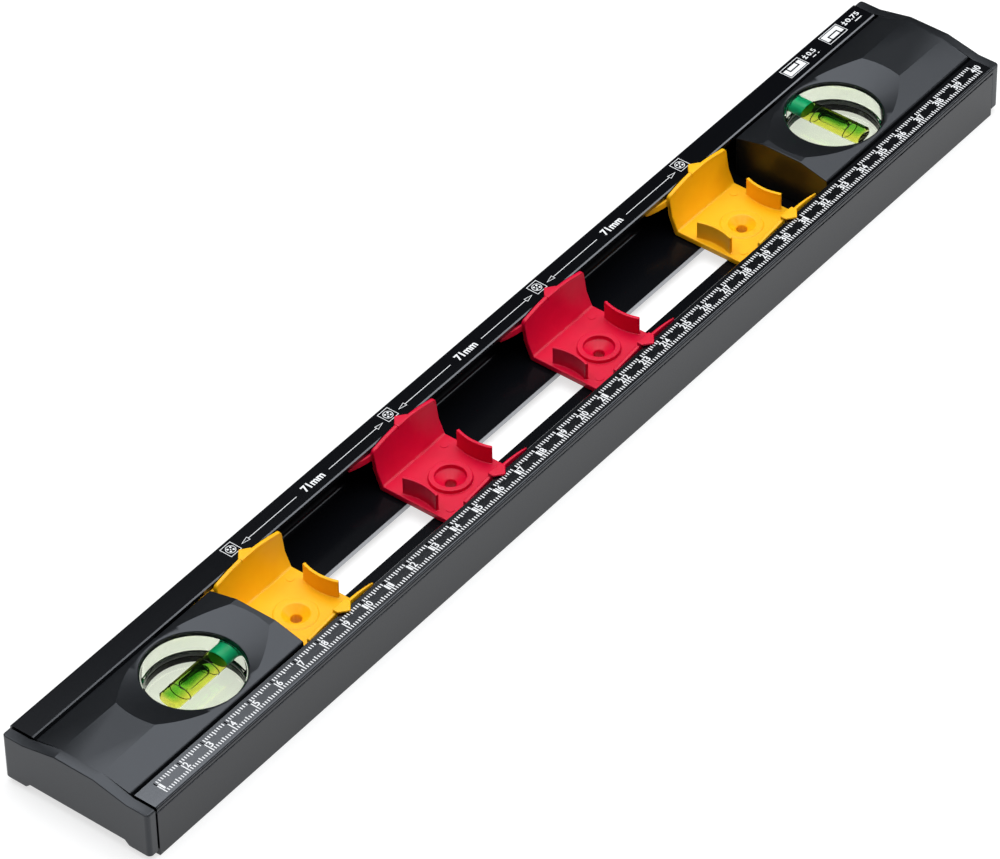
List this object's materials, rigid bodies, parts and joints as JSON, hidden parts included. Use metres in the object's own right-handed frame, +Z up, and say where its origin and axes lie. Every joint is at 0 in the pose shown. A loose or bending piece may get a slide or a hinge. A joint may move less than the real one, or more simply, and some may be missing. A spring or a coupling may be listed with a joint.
{
  "type": "spirit level",
  "caption": "Channel-section spirit level with a vial in each end block, a ruler rail, and sliding markers with marking holes that ride in a milled slot.",
  "frame": {"origin": "middle of the level's footprint, on the plane under its two feet", "axes": "+X along the level from the ruler's low end to its high end, +Y across it from the ruler rail to the printed rail, +Z up out of the open side of the channel"},
  "size_m": [0.4078, 0.0536, 0.021],
  "materials": {
    "anodised_black": "black anodised, satin",
    "dark_grey_plastic": "fine grained moulding",
    "yellow_plastic": "satin moulding",
    "red_plastic": "satin moulding",
    "clear_acrylic": "polished and clear",
    "vial_liquid": "clear yellow-green liquid",
    "vial_air": "clear",
    "green_plastic": "smooth moulding",
    "black_print": "matt"
  },
  "bodies": {
    "level": {"profile": "anodised_black", "end_block_left": "dark_grey_plastic", "end_block_right": "dark_grey_plastic", "vial_body_left": "clear_acrylic", "vial_body_right": "clear_acrylic", "vial_liquid_left": "vial_liquid", "vial_liquid_right": "vial_liquid", "vial_plug_left": "green_plastic", "vial_plug_right": "green_plastic", "index_ring_left_1": "black_print", "index_ring_left_2": "black_print", "index_ring_right_1": "black_print", "index_ring_right_2": "black_print"},
    "marker_1": {"marker_yellow_left": "yellow_plastic"},
    "marker_2": {"marker_red_left": "red_plastic"},
    "marker_3": {"marker_red_right": "red_plastic"},
    "marker_4": {"marker_yellow_right": "yellow_plastic"},
    "bubble_along": {"bubble_left": "vial_air"},
    "bubble_across": {"bubble_right": "vial_air"}
  },
  "joints": [
    {"name": "marker_1_slide", "type": "slide", "parent": "level", "child": "marker_1", "axis": [1, 0, 0], "range_m": [-0.0018, 0.016]},
    {"name": "marker_2_slide", "type": "slide", "parent": "level", "child": "marker_2", "axis": [1, 0, 0], "range_m": [-0.016, 0.016]},
    {"name": "marker_3_slide", "type": "slide", "parent": "level", "child": "marker_3", "axis": [1, 0, 0], "range_m": [-0.016, 0.016]},
    {"name": "marker_4_slide", "type": "slide", "parent": "level", "child": "marker_4", "axis": [1, 0, 0], "range_m": [-0.016, 0.005]},
    {"name": "bubble_along_slide", "type": "slide", "parent": "level", "child": "bubble_along", "axis": [1, 0, 0], "range_m": [-0.0036, 0.0036], "stiffness_N_per_m": 0.5},
    {"name": "bubble_across_slide", "type": "slide", "parent": "level", "child": "bubble_across", "axis": [0, 1, 0], "range_m": [-0.0036, 0.0036], "stiffness_N_per_m": 0.5}
  ]
}
